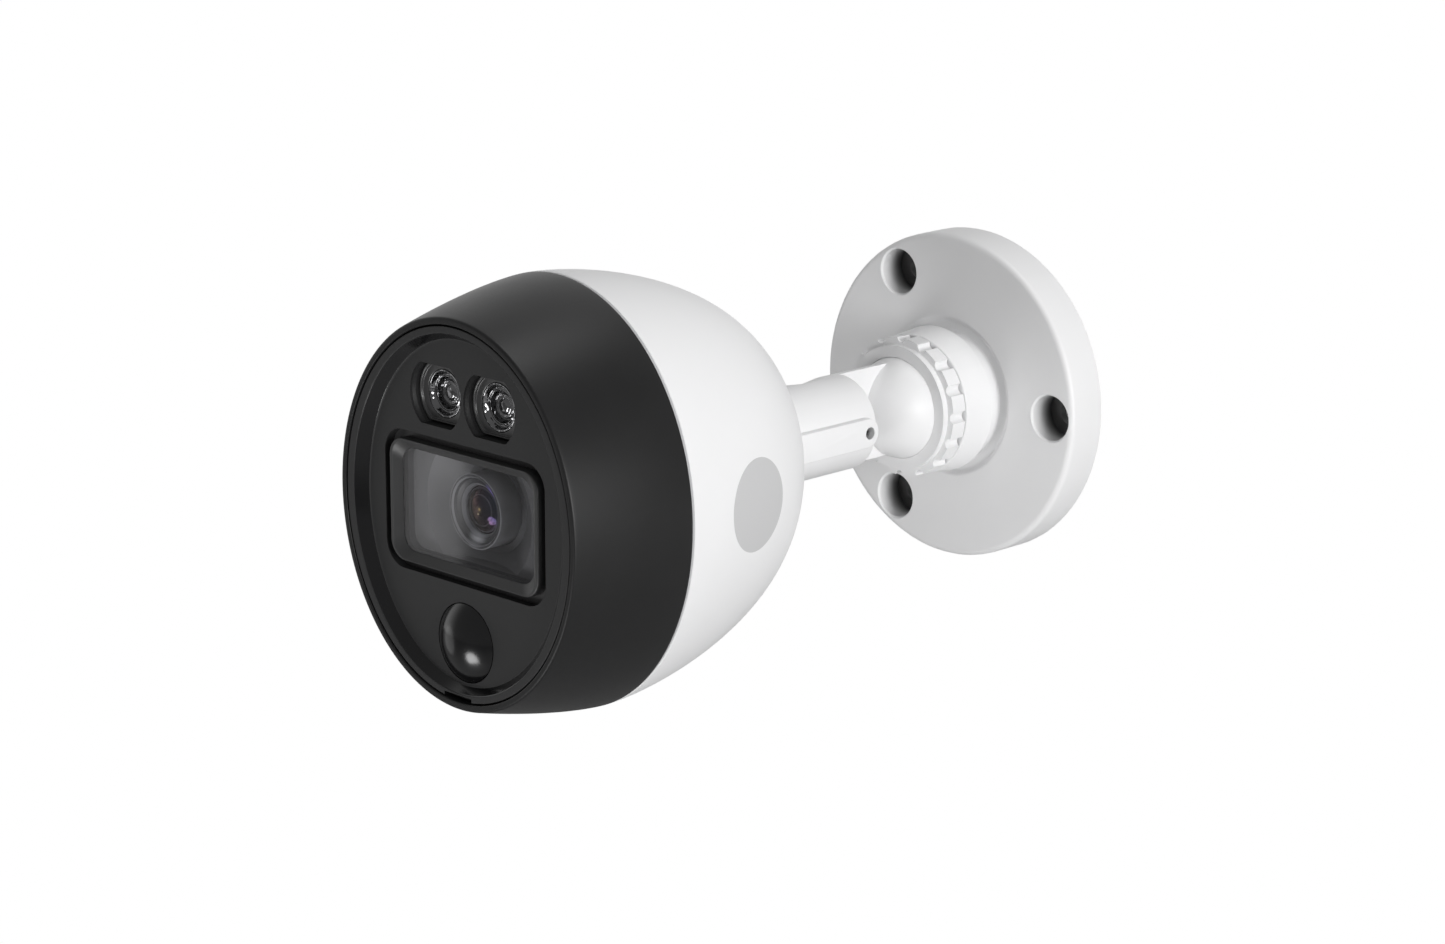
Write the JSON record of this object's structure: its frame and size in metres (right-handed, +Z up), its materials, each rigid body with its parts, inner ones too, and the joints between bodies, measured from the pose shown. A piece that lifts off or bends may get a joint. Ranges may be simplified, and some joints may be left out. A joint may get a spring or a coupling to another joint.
{
  "type": "security camera",
  "caption": "White and black outdoor security camera: egg-shaped head with lens window, spot lights and movement sensor on a ball-jointed arm and a round wall plate.",
  "frame": {"origin": "centre of the wall plate's back face", "axes": "+Y into the wall, the camera looks along -Y; +X to the right seen from the front; +Z up"},
  "size_m": [0.0752, 0.149, 0.086],
  "materials": {
    "white_plastic": "satin",
    "foam": "matte",
    "nylon": "matte",
    "steel": "satin",
    "black_rubber": "matte",
    "grey_plastic": "matte",
    "pale_rubber": "matte",
    "black_plastic": "satin",
    "charcoal_plastic": "matte",
    "frame_plastic": "satin",
    "window": "polished",
    "optic_glass": "polished",
    "lens_black": "matte",
    "clear_lens": "polished",
    "dome_black": "polished",
    "circuit_board": "matte",
    "chip": "matte",
    "battery": "matte"
  },
  "bodies": {
    "base": {"base_plate": "white_plastic", "wall_pad": "foam"},
    "ring": {"lock_ring": "white_plastic"},
    "swivel": {"swivel_cup": "nylon"},
    "arm": {"arm": "white_plastic", "guide_pin": "steel", "arm_cover": "white_plastic", "cover_screw": "steel", "stem_seal": "black_rubber", "stem_clip": "steel"},
    "head": {"rear_housing": "white_plastic", "chassis_screws": "steel", "board_screws": "steel", "board_posts": "steel", "shield_can": "steel", "pir_sensor": "steel", "window_gasket": "black_rubber", "badge_disc": "grey_plastic", "seam_gasket": "pale_rubber", "front_barrel": "black_plastic", "front_panel": "charcoal_plastic", "window_frame": "frame_plastic", "window_glass": "window", "lens_front": "optic_glass", "lens_rear": "optic_glass", "lens_hood": "lens_black", "lens_barrel": "lens_black", "lens_holder": "lens_black", "chassis": "lens_black", "battery_tray": "lens_black", "speaker": "lens_black", "led_lens_left": "clear_lens", "led_lens_right": "clear_lens", "pir_lens": "dome_black", "sensor_board": "circuit_board", "led_board": "circuit_board", "pir_board": "circuit_board", "main_board": "circuit_board", "antenna": "circuit_board", "image_sensor": "chip", "led_chips": "chip", "battery_pack": "battery"},
    "filter": {"filter_frame": "lens_black", "filter_day_pane": "optic_glass", "filter_night_pane": "optic_glass"}
  },
  "joints": [
    {"name": "ring_turn", "type": "hinge", "parent": "base", "child": "ring", "pos_m": [0, -0.022, 0], "axis": [0, -1, 0], "range_deg": [0, 90]},
    {"name": "pan", "type": "hinge", "parent": "base", "child": "swivel", "pos_m": [0, -0.0233, 0], "axis": [0, 1, 0], "range_deg": [-180, 180]},
    {"name": "tilt", "type": "hinge", "parent": "swivel", "child": "arm", "pos_m": [0, -0.0233, 0], "axis": [0, 0, 1], "range_deg": [0, 60]},
    {"name": "head_roll", "type": "hinge", "parent": "arm", "child": "head", "pos_m": [0, -0.0754, 0], "axis": [0, -1, 0], "range_deg": [-180, 180]},
    {"name": "filter_slide", "type": "slide", "parent": "head", "child": "filter", "axis": [-1, 0, 0], "range_m": [0, 0.0078]}
  ]
}
